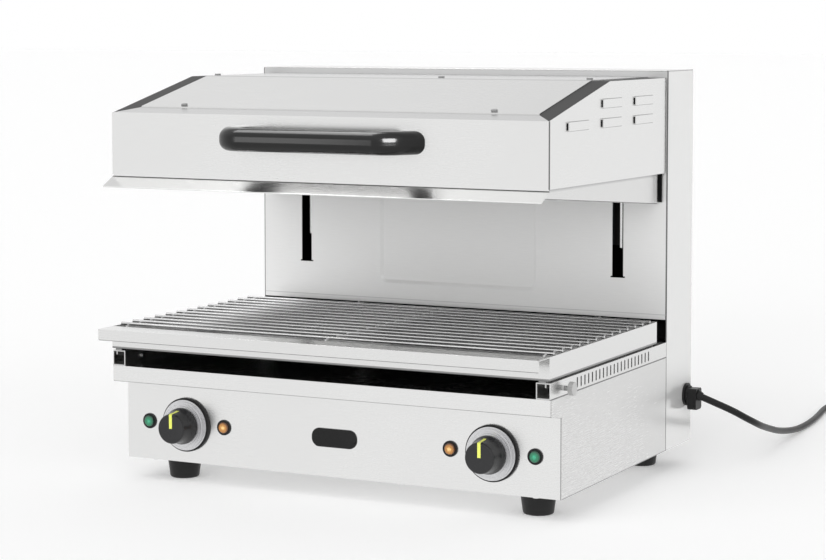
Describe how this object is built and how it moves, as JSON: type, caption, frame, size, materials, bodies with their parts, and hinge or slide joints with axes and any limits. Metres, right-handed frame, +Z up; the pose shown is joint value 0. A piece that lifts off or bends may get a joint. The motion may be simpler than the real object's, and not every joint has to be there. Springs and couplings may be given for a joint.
{
  "type": "salamander grill",
  "caption": "Countertop salamander grill in stainless sheet: a heated hood that slides up and down on a rear column over a wire grid and drip tray, with knobs on the base.",
  "frame": {"origin": "on the floor under the middle of the machine without its lead", "axes": "+X right seen from the front, +Y to the back, +Z up"},
  "size_m": [0.8134, 1.1274, 0.522],
  "materials": {
    "steel": "brushed stainless sheet",
    "bright_steel": "bright plated steel",
    "element_steel": "heat-darkened tube",
    "black_enamel": "black enamel",
    "black_gloss": "glossy black",
    "dial_metal": "satin dial",
    "seal_rubber": "black rubber",
    "green_lens": "clear green lens",
    "amber_lens": "clear amber lens",
    "regulator_body": "moulded switch body",
    "bush_plastic": "white low-friction plastic",
    "mat": "ceramic fibre mat",
    "black_matte": "moulded black",
    "lead_rubber": "black rubber lead"
  },
  "bodies": {
    "base": {"amber_lenses": "amber_lens", "badge_plate": "black_gloss", "base_bottom": "steel", "base_deck": "steel", "cable_gland": "black_matte", "column_cap": "steel", "column_front": "steel", "column_side_left": "steel", "column_side_right": "steel", "control_panel": "steel", "cord_coil": "lead_rubber", "cord_tie": "black_matte", "cross_bracket_lower": "steel", "cross_bracket_upper": "steel", "dial_plates": "dial_metal", "dial_seals": "seal_rubber", "feet": "seal_rubber", "gas_strut_tube": "black_enamel", "green_lenses": "green_lens", "guide_rods": "bright_steel", "housing_screws": "bright_steel", "lamp_bezels": "black_gloss", "plug": "black_matte", "power_cord": "lead_rubber", "rear_cover": "steel", "regulators": "regulator_body", "side_panel_left": "steel", "side_panel_right": "steel", "tray_rail_left": "steel", "tray_rail_right": "steel", "vent_strip_left": "steel", "vent_strip_right": "steel"},
    "hood": {"hood_front": "steel", "hood_side_left": "steel", "hood_side_right": "steel", "hood_top": "steel", "hood_back": "black_enamel", "heating_box": "steel", "box_ends": "steel", "front_deflector": "steel", "insulation": "mat", "heating_element_left": "element_steel", "heating_element_right": "element_steel", "element_brackets": "steel", "lift_arm_left": "steel", "lift_arm_right": "steel", "carriage": "steel", "slide_bushes": "bush_plastic", "gas_strut_rod": "bright_steel", "handle": "black_gloss", "hood_screws": "bright_steel"},
    "tray": {"drip_tray": "steel"},
    "grid": {"grid_wires": "bright_steel", "grid_bars": "bright_steel"},
    "knob_left": {"knob_left": "black_gloss", "knob_shaft_left": "bright_steel"},
    "knob_right": {"knob_right": "black_gloss", "knob_shaft_right": "bright_steel"},
    "thumb_screw_left": {"thumb_screw_left": "bright_steel"},
    "thumb_screw_right": {"thumb_screw_right": "bright_steel"}
  },
  "joints": [
    {"name": "hood_lift", "type": "slide", "parent": "base", "child": "hood", "axis": [0, 0, 1], "range_m": [-0.11, 0]},
    {"name": "tray_pull", "type": "slide", "parent": "base", "child": "tray", "axis": [0, -1, 0], "range_m": [0, 0.3]},
    {"name": "grid_lift", "type": "slide", "parent": "tray", "child": "grid", "axis": [0, 0, 1], "range_m": [0, 0.03]},
    {"name": "knob_left_turn", "type": "hinge", "parent": "base", "child": "knob_left", "pos_m": [-0.212, -0.18, 0.078], "axis": [0, 1, 0], "range_deg": [0, 300]},
    {"name": "thumb_screw_left_turn", "type": "hinge", "parent": "base", "child": "thumb_screw_left", "pos_m": [-0.3, -0.175, 0.161], "axis": [1, 0, 0], "continuous": true},
    {"name": "knob_right_turn", "type": "hinge", "parent": "base", "child": "knob_right", "pos_m": [0.212, -0.18, 0.078], "axis": [0, 1, 0], "range_deg": [0, 300]},
    {"name": "thumb_screw_right_turn", "type": "hinge", "parent": "base", "child": "thumb_screw_right", "pos_m": [0.3, -0.175, 0.161], "axis": [1, 0, 0], "continuous": true}
  ]
}
